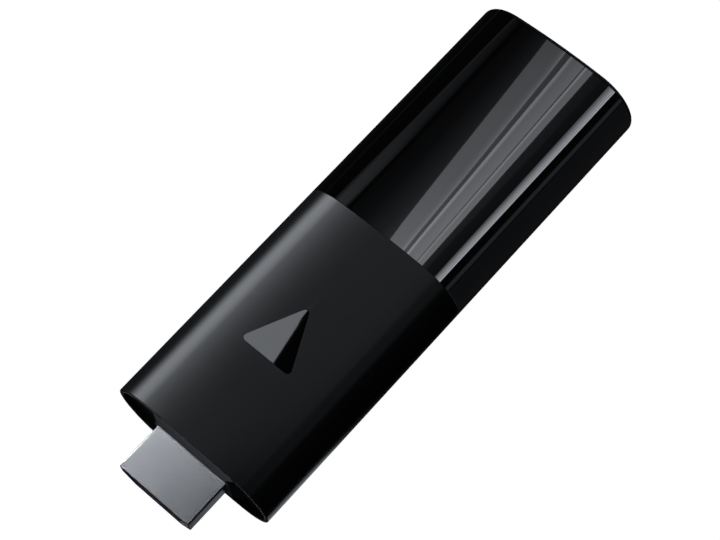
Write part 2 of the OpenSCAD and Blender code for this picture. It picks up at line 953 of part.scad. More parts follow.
// The inlet's five strips, grown by extra
module inlet_strip_set(extra) {
    strip_z = inlet_axis - tongue_thickness / 2;
    for (place = [0 : inlet_strips - 1])
        translate([0, inlet_y + (place - (inlet_strips - 1) / 2) * inlet_pitch, strip_z])
            block([inlet_mouth + 2 * tongue_setback - extra, -inlet_strip_width / 2 - extra, -extra],
                [inlet_back - inlet_sheet, inlet_strip_width / 2 + extra, inlet_strip_thickness + extra]);
}

module inlet_contacts() {
    color([0.85, 0.68, 0.3])
        inlet_strip_set(0);
}

module status_light() {
    color([0.9, 0.9, 0.85])
        translate([light_x, pipe_y - light_size[1] / 2, board_top])
            cube(light_size);
}

module light_pipe() {
    color([0.85, 0.88, 0.9, 0.6])
        intersection() {
            along_y(lip_y, seam_y)
                oval();
            union() {
                translate([-body_width, pipe_y, pipe_axis])
                    rotate([0, 90, 0])
                        cylinder(h = body_width + pipe_flange_x + pipe_flange / 2, r = pipe_radius, $fn = small_steps);
                translate([pipe_flange_x, pipe_y, pipe_axis])
                    rotate([0, 90, 0])
                        cylinder(h = pipe_flange, r = pipe_flange_radius, $fn = small_steps);
            }
        }
}

front_sleeve();
gloss_cap();
end_bezel();
badge();
badge_adhesive();
plug_shell();
plug_insulator();
plug_contacts_upper();
plug_contacts_lower();
plug_gasket();
board_tray();
main_board();
board_screws();
processor();
memory_chip();
flash_chip();
power_controller();
power_inductors();
wireless_module();
wifi_antenna();
bluetooth_antenna();
crystals();
capacitors();
resistors();
surge_arrays();
upper_fence();
upper_lid();
lower_fence();
lower_lid();
processor_pad();
upper_pad();
flash_pad();
lower_pad();
upper_spreader();
lower_spreader();
inlet_shell();
inlet_tongue();
inlet_contacts();
status_light();
light_pipe();
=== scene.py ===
import math

import bmesh
import bpy
from mathutils import Matrix, Vector


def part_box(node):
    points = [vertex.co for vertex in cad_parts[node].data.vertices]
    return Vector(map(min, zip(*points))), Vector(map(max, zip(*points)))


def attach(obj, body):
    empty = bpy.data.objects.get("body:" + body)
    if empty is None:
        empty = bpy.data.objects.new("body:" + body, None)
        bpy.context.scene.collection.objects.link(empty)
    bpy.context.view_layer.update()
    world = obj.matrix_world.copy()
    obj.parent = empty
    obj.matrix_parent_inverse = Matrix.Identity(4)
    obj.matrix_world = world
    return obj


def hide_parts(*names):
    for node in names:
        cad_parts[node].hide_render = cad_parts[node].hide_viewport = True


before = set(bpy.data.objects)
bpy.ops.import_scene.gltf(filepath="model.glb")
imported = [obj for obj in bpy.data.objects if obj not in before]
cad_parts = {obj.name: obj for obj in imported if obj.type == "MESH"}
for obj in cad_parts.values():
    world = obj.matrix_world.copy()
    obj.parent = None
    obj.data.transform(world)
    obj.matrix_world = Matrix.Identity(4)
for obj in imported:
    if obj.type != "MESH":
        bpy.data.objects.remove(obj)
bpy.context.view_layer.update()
bpy.ops.object.select_all(action="DESELECT")
MM = 0.001


# ---- Board tray ----
# A thin half shell moulded in dark plastic that carries the circuit board on three bosses.
# It is slid into the sleeve and the cap, and is never seen once the stick is closed.

def new_group(name, inputs, outputs):
    """Makes an empty shader node group with named sockets."""
    group = bpy.data.node_groups.new(name, "ShaderNodeTree")
    for socket, kind, value in inputs:
        group.interface.new_socket(socket, in_out="INPUT", socket_type=kind).default_value = value
    for socket in outputs:
        group.interface.new_socket(socket, in_out="OUTPUT", socket_type="NodeSocketFloat")
    return group, group.nodes.new("NodeGroupInput"), group.nodes.new("NodeGroupOutput")


# Grain and cloud: a fine grain and a slow drift, both 0 to 1, at sizes given in millimetres
fine_grain, source, result = new_group(
    "fine_grain",
    [
        ("Grain size", "NodeSocketFloat", 0.1),
        ("Cloud size", "NodeSocketFloat", 5.0),
        ("Stretch", "NodeSocketVector", (1, 1, 1)),
    ],
    ["Grain", "Cloud"],
)
place = fine_grain.nodes.new("ShaderNodeTexCoord")
stretched = fine_grain.nodes.new("ShaderNodeVectorMath")
stretched.operation = "MULTIPLY"
fine_grain.links.new(place.outputs["Object"], stretched.inputs[0])
fine_grain.links.new(source.outputs["Stretch"], stretched.inputs[1])
for size, output, detail in (("Grain size", "Grain", 2.0), ("Cloud size", "Cloud", 4.0)):
    per_metre = fine_grain.nodes.new("ShaderNodeMath")
    per_metre.operation = "DIVIDE"
    per_metre.inputs[0].default_value = 1 / MM
    noise = fine_grain.nodes.new("ShaderNodeTexNoise")
    noise.inputs["Detail"].default_value = detail
    fine_grain.links.new(source.outputs[size], per_metre.inputs[1])
    fine_grain.links.new(per_metre.outputs[0], noise.inputs["Scale"])
    fine_grain.links.new(stretched.outputs[0], noise.inputs["Vector"])
    fine_grain.links.new(noise.outputs["Fac"], result.inputs[output])

# Painted edge highlight: 0 on flats and 1 on sharp outer edges, broken up so that it isn't even
painted_edge_highlight, source, result = new_group(
    "painted_edge_highlight", [("Break up", "NodeSocketFloat", 0.8)], ["Edge"]
)
shape = painted_edge_highlight.nodes.new("ShaderNodeNewGeometry")
sharp = painted_edge_highlight.nodes.new("ShaderNodeMapRange")
sharp.inputs["From Min"].default_value = 0.52
sharp.inputs["From Max"].default_value = 0.6
place = painted_edge_highlight.nodes.new("ShaderNodeTexCoord")
patches = painted_edge_highlight.nodes.new("ShaderNodeTexNoise")
patches.inputs["Detail"].default_value = 3.0
per_metre = painted_edge_highlight.nodes.new("ShaderNodeMath")
per_metre.operation = "DIVIDE"
per_metre.inputs[0].default_value = 1 / MM
broken = painted_edge_highlight.nodes.new("ShaderNodeMath")
broken.operation = "MULTIPLY"
painted_edge_highlight.links.new(source.outputs["Break up"], per_metre.inputs[1])
painted_edge_highlight.links.new(per_metre.outputs[0], patches.inputs["Scale"])
painted_edge_highlight.links.new(place.outputs["Object"], patches.inputs["Vector"])
painted_edge_highlight.links.new(shape.outputs["Pointiness"], sharp.inputs["Value"])
painted_edge_highlight.links.new(sharp.outputs["Result"], broken.inputs[0])
painted_edge_highlight.links.new(patches.outputs["Fac"], broken.inputs[1])
painted_edge_highlight.links.new(broken.outputs[0], result.inputs["Edge"])


def finish(name, dark, light, rough, grain, depth, cloud=5.0, stretch=(1, 1, 1), edge_highlight_colour=None, **constants):
    """A material whose colour and roughness drift, with a fine raised grain and, if given an edge colour,
    sharp edges painted lighter as a painted highlight.
    """
    material = bpy.data.materials.new(name)
    material.use_nodes = True
    nodes = material.node_tree.nodes
    links = material.node_tree.links
    shader = nodes["Principled BSDF"]
    for socket, value in constants.items():
        shader.inputs[socket.replace("_", " ")].default_value = value
    detail = nodes.new("ShaderNodeGroup")
    detail.node_tree = fine_grain
    detail.inputs["Grain size"].default_value = grain
    detail.inputs["Cloud size"].default_value = cloud
    detail.inputs["Stretch"].default_value = stretch
    tone = nodes.new("ShaderNodeMix")
    tone.data_type = "RGBA"
    tone.inputs["A"].default_value = (*dark, 1)
    tone.inputs["B"].default_value = (*light, 1)
    links.new(detail.outputs["Cloud"], tone.inputs["Factor"])
    colour = tone.outputs["Result"]
    # Sharp edges get a lighter colour: a painted highlight
    if edge_highlight_colour is not None:
        edges = nodes.new("ShaderNodeGroup")
        edges.node_tree = painted_edge_highlight
        highlighted_edge = nodes.new("ShaderNodeMix")
        highlighted_edge.data_type = "RGBA"
        highlighted_edge.inputs["B"].default_value = (*edge_highlight_colour, 1)
        links.new(edges.outputs["Edge"], highlighted_edge.inputs["Factor"])
        links.new(colour, highlighted_edge.inputs["A"])
        colour = highlighted_edge.outputs["Result"]
    links.new(colour, shader.inputs["Base Color"])
    gloss = nodes.new("ShaderNodeMapRange")
    gloss.inputs["To Min"].default_value = rough[0]
    gloss.inputs["To Max"].default_value = rough[1]
    links.new(detail.outputs["Cloud"], gloss.inputs["Value"])
    links.new(gloss.outputs["Result"], shader.inputs["Roughness"])
    relief = nodes.new("ShaderNodeBump")
    relief.inputs["Distance"].default_value = depth * MM
    links.new(detail.outputs["Grain"], relief.inputs["Height"])
    links.new(relief.outputs["Normal"], shader.inputs["Normal"])
    return material


def dress(node, material):
    """Gives a CAD node its material."""
    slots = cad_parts[node].data.materials
    slots.clear()
    slots.append(material)


tray_plastic = finish("tray_plastic", (0.04, 0.04, 0.044), (0.06, 0.06, 0.066), (0.45, 0.6), 0.12, 0.006)
dress("board_tray", tray_plastic)


# ---- Circuit board ----
# Glass laminate under a green solder mask, through which the copper tracks show as paler lines.
# Three steel screws hold it down on the tray's bosses.

board_laminate = finish("board_laminate", (0.012, 0.075, 0.045), (0.02, 0.11, 0.07), (0.3, 0.42), 0.2, 0.004)
nodes = board_laminate.node_tree.nodes
links = board_laminate.node_tree.links
place = nodes.new("ShaderNodeTexCoord")
tracks = nodes.new("ShaderNodeTexVoronoi")
tracks.feature = "DISTANCE_TO_EDGE"
tracks.inputs["Scale"].default_value = 0.45 / MM
tracks.inputs["Randomness"].default_value = 0.35
track = nodes.new("ShaderNodeMapRange")
track.inputs["From Min"].default_value = 0.05
track.inputs["From Max"].default_value = 0.07
track.inputs["To Min"].default_value = 1.0
track.inputs["To Max"].default_value = 0.0
copper_below = nodes.new("ShaderNodeMix")
copper_below.data_type = "RGBA"
copper_below.inputs["B"].default_value = (0.05, 0.2, 0.1, 1)
mask_colour = nodes["Principled BSDF"].inputs["Base Color"].links[0].from_socket
links.new(place.outputs["Object"], tracks.inputs["Vector"])
links.new(tracks.outputs["Distance"], track.inputs["Value"])
links.new(track.outputs["Result"], copper_below.inputs["Factor"])
links.new(mask_colour, copper_below.inputs["A"])
links.new(copper_below.outputs["Result"], nodes["Principled BSDF"].inputs["Base Color"])
dress("main_board", board_laminate)

screw_steel = finish(
    "screw_steel", (0.42, 0.42, 0.44), (0.56, 0.56, 0.58), (0.25, 0.4), 0.08, 0.002, Metallic=1.0
)
dress("board_screws", screw_steel)


# ---- Chips and small parts ----
# Black epoxy packages with a fine moulded grain, grey ferrite coils and sandy ceramic capacitors.
# All are soldered flat on the board.

chip_resin = finish("chip_resin", (0.016, 0.016, 0.018), (0.028, 0.028, 0.03), (0.5, 0.65), 0.06, 0.006)
for node in ("processor", "memory_chip", "flash_chip", "power_controller", "resistors", "surge_arrays"):
    dress(node, chip_resin)
ferrite = finish("ferrite", (0.06, 0.06, 0.068), (0.1, 0.1, 0.11), (0.55, 0.75), 0.1, 0.01)
dress("power_inductors", ferrite)
ceramic = finish("ceramic", (0.4, 0.29, 0.18), (0.5, 0.39, 0.26), (0.35, 0.5), 0.08, 0.004, cloud=0.8)
dress("capacitors", ceramic)


# ---- Shield cans and antennas ----
# Thin tinned sheet, rolled so that its grain runs along the stick, pressed or soldered in place.
# The two antennas are stamped from the same kind of sheet with a warmer plating.

ROLLED = (6, 0.4, 6)
can_metal = finish(
    "can_metal",
    (0.52, 0.52, 0.52),
    (0.68, 0.68, 0.67),
    (0.25, 0.4),
    0.15,
    0.003,
    stretch=ROLLED,
    Metallic=1.0,
)
for node in ("wireless_module", "crystals", "upper_fence", "upper_lid", "lower_fence", "lower_lid"):
    dress(node, can_metal)
antenna_metal = finish(
    "antenna_metal", (0.56, 0.52, 0.42), (0.68, 0.64, 0.54), (0.22, 0.36), 0.15, 0.002, Metallic=1.0
)
dress("wifi_antenna", antenna_metal)
dress("bluetooth_antenna", antenna_metal)


# ---- Heat pads and heat spreaders ----
# Soft blue-grey silicone pads fill the gaps between chips, lids and spreaders.
# The spreaders are folded from brushed aluminium sheet, clipped over the board.

heat_pad = finish("heat_pad", (0.28, 0.33, 0.43), (0.4, 0.45, 0.55), (0.7, 0.9), 0.25, 0.02, cloud=2.0)
for node in ("processor_pad", "upper_pad", "flash_pad", "lower_pad"):
    dress(node, heat_pad)
aluminium = finish(
    "aluminium",
    (0.66, 0.67, 0.68),
    (0.78, 0.79, 0.8),
    (0.28, 0.42),
    0.1,
    0.003,
    stretch=ROLLED,
    Metallic=1.0,
)
dress("upper_spreader", aluminium)
dress("lower_spreader", aluminium)


# ---- Plug insulator and contacts ----
# A black moulding fills the plug's shell, with a slot for the socket's tongue in its front face.
# Nineteen gold-plated strips lie in grooves above and below the slot, ten over nine.

SHARP = math.radians(30)
TINY = 0.001 * MM


def wake(piece):
    """Makes a piece the only one selected, and the active one."""
    bpy.ops.object.select_all(action="DESELECT")
    piece.select_set(True)
    bpy.context.view_layer.objects.active = piece


def pick(piece, kind, wanted):
    """In edit mode, selects the verts, edges or faces that pass the test, and nothing else."""
    bpy.ops.mesh.select_mode(type={"verts": "VERT", "edges": "EDGE", "faces": "FACE"}[kind])
    bpy.ops.mesh.select_all(action="DESELECT")
    mesh = bmesh.from_edit_mesh(piece.data)
    for part in getattr(mesh, kind):
        if wanted(part):
            part.select_set(True)
    bmesh.update_edit_mesh(piece.data)


def runs_along(edge, axis):
    """True if an edge is parallel to an axis, 0 for X, 1 for Y or 2 for Z."""
    run = edge.verts[1].co - edge.verts[0].co
    return run.length > TINY and abs(run[axis]) > 0.999 * run.length


def modify(piece, kind, **settings):
    """Adds a modifier with its settings and applies it."""
    wake(piece)
    modifier = piece.modifiers.new(kind, kind)
    for setting, value in settings.items():
        setattr(modifier, setting, value)
    bpy.ops.object.modifier_apply(modifier=modifier.name)


def block(name, low, high):
    """A box between two corners, with its place in its mesh."""
    low = Vector(low)
    high = Vector(high)
    bpy.ops.object.select_all(action="DESELECT")
    bpy.ops.mesh.primitive_cube_add(size=1, location=(low + high) / 2, scale=high - low)
    made = bpy.context.object
    made.name = name
    made.data.name = name
    bpy.ops.object.transform_apply(location=True, rotation=True, scale=True)
    return made


def draw_in_foot(piece, slant_z, share, across):
    """Slants a block's sides below slant_z, until its foot is that share of its width."""
    wake(piece)
    bpy.ops.object.mode_set(mode="EDIT")
    bpy.ops.mesh.select_all(action="SELECT")
    bpy.ops.mesh.bisect(plane_co=(0, 0, slant_z), plane_no=(0, 0, 1))
    pick(piece, "verts", lambda v: v.co.z < slant_z - TINY)
    chosen = [v.co.copy() for v in bmesh.from_edit_mesh(piece.data).verts if v.select]
    middle = sum(chosen, Vector()) / len(chosen)
    scale = [1.0, 1.0, 1.0]
    scale[across] = share
    bpy.ops.transform.resize(value=scale, center_override=middle)
    bpy.ops.object.mode_set(mode="OBJECT")


def round_edges(piece, axis, radius, steps=4):
    """Rounds the long corners of a block, the edges that run along an axis between two of its sides."""
    wake(piece)
    bpy.ops.object.mode_set(mode="EDIT")
    pick(
        piece,
        "edges",
        lambda e: runs_along(e, axis) and (len(e.link_faces) < 2 or e.calc_face_angle() > SHARP),
    )
    bpy.ops.mesh.bevel(offset=radius, offset_type="OFFSET", segments=steps, affect="EDGES")
    bpy.ops.object.mode_set(mode="OBJECT")


def cut(piece, tool, operation="DIFFERENCE"):
    """Cuts a piece with a tool, or joins or crosses the two, and throws the tool away."""
    modify(piece, "BOOLEAN", operation=operation, solver="EXACT", object=tool)
    bpy.data.objects.remove(tool)


def smooth(piece, degrees=30):
    """Shades a piece smooth up to an angle, led by its larger faces."""
    wake(piece)
    bpy.ops.object.shade_smooth_by_angle(angle=math.radians(degrees))
    modify(piece, "WEIGHTED_NORMAL", mode="FACE_AREA", keep_sharp=True)


def fit(piece, material, slot, *nodes):
    """Finishes a piece: its material, the CAD nodes that it stands for, and its body. The slot is not used.
    """
    piece.data.materials.clear()
    piece.data.materials.append(material)
    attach(piece, "root")
    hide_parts(*nodes)


plug_low, plug_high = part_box("plug_shell")
plug_middle = (plug_low + plug_high) / 2
PLUG_FOOT = 9.2 / 13.9
PLUG_SLANT = 0.3 * MM
PLUG_SHEET = 0.3 * MM
INSULATOR_CORNER = 0.1 * MM
INSULATOR_EDGE = 0.12 * MM
insulator_low, insulator_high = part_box("plug_insulator")
insulator = block("insulator", insulator_low, insulator_high)
foot_width = PLUG_FOOT * (plug_high.x - plug_low.x) - 2 * PLUG_SHEET
insulator_foot = foot_width / (insulator_high.x - insulator_low.x)
draw_in_foot(insulator, plug_middle.z - PLUG_SLANT, insulator_foot, 0)
round_edges(insulator, 1, INSULATOR_CORNER)
modify(insulator, "BEVEL", width=INSULATOR_EDGE, segments=3, angle_limit=math.radians(60))
SLOT_HALF = Vector((5.7, 0, 0.58)) * MM
SLOT_DEPTH = 6 * MM
tongue_slot = block(
    "tongue_slot",
    (-SLOT_HALF.x, insulator_low.y - MM, plug_middle.z - SLOT_HALF.z),
    (SLOT_HALF.x, insulator_low.y + SLOT_DEPTH, plug_middle.z + SLOT_HALF.z),
)
cut(insulator, tongue_slot)
strip_low, strip_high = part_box("plug_contacts_upper")
STRIP_PITCH = 1 * MM
STRIP_BED = 0.43 * MM
STRIP_GAP = 0.04 * MM
BED_HALF_DEPTH = 0.14 * MM
for count, side in ((10, 1), (9, -1)):
    for number in range(count):
        middle_x = (number - (count - 1) / 2) * STRIP_PITCH
        face_z = plug_middle.z + side * (strip_low.z + strip_high.z - 2 * plug_middle.z) / 2
        groove = block(
            "groove",
            (middle_x - STRIP_BED / 2, strip_low.y - STRIP_GAP, face_z - BED_HALF_DEPTH),
            (middle_x + STRIP_BED / 2, insulator_high.y + MM, face_z + BED_HALF_DEPTH),
        )
        cut(insulator, groove)
smooth(insulator)
black_moulding = finish(
    "black_moulding", (0.012, 0.012, 0.013), (0.02, 0.02, 0.021), (0.38, 0.5), 0.1, 0.003
)
fit(insulator, black_moulding, "black_moulding", "plug_insulator")

contact_plating = finish(
    "contact_plating", (0.78, 0.56, 0.22), (0.88, 0.68, 0.33), (0.14, 0.26), 0.06, 0.001, Metallic=1.0
)
for node in ("plug_contacts_upper", "plug_contacts_lower", "inlet_contacts"):
    dress(node, contact_plating)


# ---- Plug shell ----
# Nickel-plated steel sheet bent round into the standard D shape, closed by a seam underneath.
# Two tabs at its back are soldered into the board's edge; a foam ring seals it behind the end plate.

SHELL_CORNER = 0.25 * MM
SHELL_EDGE = 0.1 * MM
TAB_HEIGHT = 1.5 * MM
TAB_EDGE = 0.05 * MM
TAB_INSET = 0.02 * MM
BACK_STEP = 0.6 * MM
shell_high = Vector((plug_high.x, insulator_high.y - BACK_STEP, plug_high.z))
plug_shell = block("plug_sleeve", plug_low, shell_high)
draw_in_foot(plug_shell, plug_middle.z - PLUG_SLANT, PLUG_FOOT, 0)
round_edges(plug_shell, 1, SHELL_CORNER)
wake(plug_shell)
bpy.ops.object.mode_set(mode="EDIT")
pick(plug_shell, "faces", lambda f: abs(f.normal.y) > 0.9)
bpy.ops.mesh.delete(type="ONLY_FACE")
bpy.ops.object.mode_set(mode="OBJECT")
modify(plug_shell, "SOLIDIFY", thickness=PLUG_SHEET, offset=-1.0, use_even_offset=True)
modify(plug_shell, "BEVEL", width=SHELL_EDGE, segments=3, angle_limit=math.radians(60))
SEAM_WIDTH = 0.07 * MM
folded_seam = block(
    "folded_seam",
    (-SEAM_WIDTH / 2, plug_low.y - MM, plug_low.z - MM),
    (SEAM_WIDTH / 2, shell_high.y + MM, plug_low.z + PLUG_SHEET / 2),
)
cut(plug_shell, folded_seam)
for side in (-1, 1):
    outer_x = side * (plug_high.x - TAB_INSET)
    inner_x = side * (plug_high.x - PLUG_SHEET + TAB_INSET)
    tab = block(
        "tab",
        (min(outer_x, inner_x), shell_high.y - MM, plug_middle.z),
        (max(outer_x, inner_x), plug_high.y, plug_middle.z + TAB_HEIGHT),
    )
    modify(tab, "BEVEL", width=TAB_EDGE, segments=2)
    cut(plug_shell, tab, "UNION")
smooth(plug_shell)
# Sharp edges of the plug shell and the inlet are painted pale: a painted highlight
plated_steel = finish(
    "plated_steel",
    (0.5, 0.505, 0.52),
    (0.58, 0.585, 0.6),
    (0.2, 0.24),
    0.05,
    0.0008,
    cloud=3.0,
    edge_highlight_colour=(0.75, 0.75, 0.76),
    Metallic=1.0,
)
fit(plug_shell, plated_steel, "plated_steel", "plug_shell")

foam = finish("foam", (0.12, 0.12, 0.13), (0.2, 0.2, 0.21), (0.8, 0.95), 0.18, 0.05, cloud=1.0)
dress("plug_gasket", foam)


# ---- Power inlet and status light ----
# A small D-shaped inlet drawn from plated steel, with a black tongue inside.
# Beside it a clear pin carries the status light through the sleeve's wall.

inlet_low, inlet_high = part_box("inlet_shell")
INLET_SHEET = 0.25 * MM
INLET_CORNER = 0.4 * MM
INLET_EDGE = 0.07 * MM
INLET_FOOT = (7.5 - 2 * 0.9) / 7.5
inlet_axis = (inlet_low.z + inlet_high.z) / 2
inlet = block("inlet", inlet_low, inlet_high)
draw_in_foot(inlet, inlet_axis, INLET_FOOT, 1)
round_edges(inlet, 0, INLET_CORNER)
wake(inlet)
bpy.ops.object.mode_set(mode="EDIT")
pick(inlet, "faces", lambda f: f.normal.x < -0.9)
bpy.ops.mesh.delete(type="ONLY_FACE")
bpy.ops.object.mode_set(mode="OBJECT")
modify(inlet, "SOLIDIFY", thickness=INLET_SHEET, offset=-1.0, use_even_offset=True)
modify(inlet, "BEVEL", width=INLET_EDGE, segments=3, angle_limit=math.radians(60))
smooth(inlet)
fit(inlet, plated_steel, "plated_steel", "inlet_shell")
dress("inlet_tongue", black_moulding)

light_resin = finish(
    "light_resin", (0.8, 0.78, 0.62), (0.88, 0.86, 0.74), (0.2, 0.35), 0.1, 0.002, cloud=0.6
)
dress("status_light", light_resin)
clear_plastic = finish(
    "clear_plastic",
    (0.72, 0.75, 0.78),
    (0.86, 0.88, 0.9),
    (0.12, 0.22),
    0.1,
    0.001,
    cloud=0.5,
    Transmission_Weight=0.5,
)
dress("light_pipe", clear_plastic)


# ---- Sleeve ----
# The front half of the casing: one tube of black plastic with an oval section of four arcs,
# moulded with a satin surface, open at the seam and stepped at its mouth to seat the end plate.

body_low, body_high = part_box("front_sleeve")
mid_z = (body_low.z + body_high.z) / 2
lip_y = body_low.y
seam_y = body_high.y
WALL = 1.3 * MM
MOUTH_LIP = 0.75 * MM
FACE_RISE = 0.405 * MM
SIDE_STEPS = 72
FACE_STEPS = 28
side_radius = (body_high.z - body_low.z) / 2 - FACE_RISE
side_centre = body_high.x - side_radius
half_height = (body_high.z - body_low.z) / 2
face_radius = (side_centre**2 + half_height**2 - side_radius**2) / (2 * FACE_RISE)
face_centre = face_radius - half_height
side_sweep = 2 * math.atan2(face_centre, side_centre)
face_sweep = math.pi - side_sweep
bezel_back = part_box("end_bezel")[1].y


def at_joint(inset, y):
    """The point where a side arc meets the upper flat arc, on the oval taken in by inset."""
    reach = side_radius - inset
    angle = side_sweep / 2
    return Vector((side_centre + reach * math.cos(angle), y, mid_z + reach * math.sin(angle)))


def draw_profile(name, points):
    """Draws the wall's profile as a line of edges from point to point, and stays in edit mode."""
    bpy.ops.object.select_all(action="DESELECT")
    bpy.ops.mesh.primitive_plane_add(size=MM)
    drawn = bpy.context.object
    drawn.name = name
    drawn.data.name = name
    bpy.ops.object.mode_set(mode="EDIT")
    bpy.ops.mesh.select_mode(type="VERT")
    bpy.ops.mesh.select_all(action="SELECT")
    bpy.ops.mesh.merge(type="CENTER")
    bpy.ops.transform.translate(value=points[0])
    for start, end in zip(points, points[1:]):
        bpy.ops.mesh.extrude_vertices_move(TRANSFORM_OT_translate={"value": end - start})
    bpy.ops.mesh.select_all(action="SELECT")
    bpy.ops.mesh.remove_doubles(threshold=TINY)
    return drawn


def round_profile(piece, corner, radius, steps):
    """Rounds one corner of a profile."""
    pick(piece, "verts", lambda v: (v.co - corner).length < TINY)
    bpy.ops.mesh.bevel(offset=radius, offset_type="OFFSET", segments=steps, affect="VERTICES")


def spin_round(piece):
    """Turns a profile once round the casing, about the centre of each of its four arcs."""
    bpy.ops.mesh.select_all(action="SELECT")
    turns = (
        (side_centre, mid_z, side_sweep, SIDE_STEPS),
        (0, mid_z + face_centre, face_sweep, FACE_STEPS),
        (-side_centre, mid_z, side_sweep, SIDE_STEPS),
        (0, mid_z - face_centre, face_sweep, FACE_STEPS),
    )
    for centre_x, centre_z, sweep, steps in turns:
        bpy.ops.mesh.spin(steps=steps, angle=sweep, center=(centre_x, 0, centre_z), axis=(0, -1, 0))
    bpy.ops.mesh.select_all(action="SELECT")
    bpy.ops.mesh.remove_doubles(threshold=TINY)
    bpy.ops.mesh.normals_make_consistent(inside=False)


def split_run(piece, y0, y1, pieces):
    """Divides the profile's run from y0 to y1, so that no face of the wall is long and thin."""
    ends = {round(y0 / TINY), round(y1 / TINY)}
    pick(piece, "edges", lambda e: {round(v.co.y / TINY) for v in e.verts} == ends)
    bpy.ops.mesh.subdivide(number_cuts=pieces - 1)


sleeve_points = [
    at_joint(0, lip_y),
    at_joint(0, seam_y),
    at_joint(WALL, seam_y),
    at_joint(WALL, bezel_back),
    at_joint(MOUTH_LIP, bezel_back),
    at_joint(MOUTH_LIP, lip_y),
]
LIP_ROUND = 0.12 * MM
LIP_INNER_ROUND = 0.08 * MM
SEAM_ROUND = 0.05 * MM
sleeve = draw_profile("sleeve", sleeve_points + sleeve_points[:1])
round_profile(sleeve, sleeve_points[0], LIP_ROUND, 3)
round_profile(sleeve, sleeve_points[1], SEAM_ROUND, 2)
round_profile(sleeve, sleeve_points[5], LIP_INNER_ROUND, 2)
split_run(sleeve, lip_y + LIP_ROUND, seam_y - SEAM_ROUND, 12)
spin_round(sleeve)
bpy.ops.object.mode_set(mode="OBJECT")

# Cut the inlet's opening, the light's hole and the badge's pocket
OPENING_MARGIN = 0.4 * MM
OPENING_CORNER = 0.7 * MM
grown = Vector((0, OPENING_MARGIN, OPENING_MARGIN))
opening = block(
    "opening",
    (-body_high.x - MM, *(inlet_low - grown).yz),
    (-side_centre, *(inlet_high + grown).yz),
)
draw_in_foot(opening, inlet_axis, INLET_FOOT, 1)
round_edges(opening, 0, OPENING_CORNER)
cut(sleeve, opening)
pin_low, pin_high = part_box("light_pipe")
pin_middle = (pin_low + pin_high) / 2
PIN_HOLE = 0.64 * MM
bpy.ops.object.select_all(action="DESELECT")
bpy.ops.mesh.primitive_cylinder_add(
    vertices=40,
    radius=PIN_HOLE,
    depth=4 * MM,
    location=(-body_high.x, pin_middle.y, pin_middle.z),
    rotation=(0, math.pi / 2, 0),
)
pin_hole = bpy.context.object
bpy.ops.object.transform_apply(location=True, rotation=True, scale=True)
cut(sleeve, pin_hole)


def play_prism(name, low, high, grow, z0, z1):
    """A rounded triangle that points to the cap, grown a little and raised from z0 to z1."""
    bpy.ops.object.select_all(action="DESELECT")
    bpy.ops.mesh.primitive_circle_add(vertices=3, radius=MM, fill_type="NGON", location=(0, 0, z0))
    prism = bpy.context.object
    prism.name = name
    prism.data.name = name
    bpy.ops.object.transform_apply(location=True, rotation=True, scale=True)
    bpy.ops.object.mode_set(mode="EDIT")
    reach = (high.y - low.y) / 2 - BADGE_CORNER
    span = (high.x - low.x) / 2 - BADGE_CORNER
    middle = Vector(((low.x + high.x) / 2, (low.y + high.y) / 2, z0))
    # The rounded triangle's sides, drawn out to their sharp corners
    slope = math.atan2(span, 2 * reach)
    radius = BADGE_CORNER + grow
    tip = reach + radius / math.sin(slope)
    base = reach + radius
    half = (tip + base) * math.tan(slope)
    corners = [middle + Vector(p) for p in ((0, tip, 0), (-half, -base, 0), (half, -base, 0))]
    mesh = bmesh.from_edit_mesh(prism.data)
    for vert, corner in zip(sorted(mesh.verts, key=lambda v: (-v.co.y, v.co.x)), corners):
        vert.co = corner
    bmesh.update_edit_mesh(prism.data)
    for corner, opening_angle in zip(corners, (2 * slope, math.pi / 2 - slope, math.pi / 2 - slope)):
        pick(prism, "verts", lambda v: (v.co - corner).length < TINY)
        bpy.ops.mesh.bevel(
            offset=radius / math.tan(opening_angle / 2),
            offset_type="OFFSET",
            segments=10,
            affect="VERTICES",
        )
    bpy.ops.mesh.select_mode(type="FACE")
    bpy.ops.mesh.select_all(action="SELECT")
    bpy.ops.mesh.extrude_region_move(TRANSFORM_OT_translate={"value": (0, 0, z1 - z0)})
    bpy.ops.mesh.select_all(action="SELECT")
    bpy.ops.mesh.normals_make_consistent(inside=False)
    bpy.ops.object.mode_set(mode="OBJECT")
    return prism


badge_low, badge_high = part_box("badge")
BADGE_CORNER = 0.7 * MM
BADGE_GAP = 0.04 * MM
POCKET_FLOOR = 14.38 * MM
pocket = play_prism("pocket", badge_low, badge_high, BADGE_GAP, POCKET_FLOOR, body_high.z + MM)
cut(sleeve, pocket)
smooth(sleeve)
# The sleeve's sharp edges are painted a little paler: a painted highlight
satin_casing = finish(
    "satin_casing",
    (0.0075, 0.0078, 0.0086),
    (0.0095, 0.0098, 0.0108),
    (0.2, 0.22),
    0.06,
    0.0006,
    cloud=6.0,
    edge_highlight_colour=(0.02, 0.02, 0.022),
)
fit(sleeve, satin_casing, "satin_casing", "front_sleeve")


# ---- Badge ----
# A mirror-black play triangle, moulded to the sleeve's curve and let in flush with its face.
# It is held in its pocket by a film of clear adhesive.

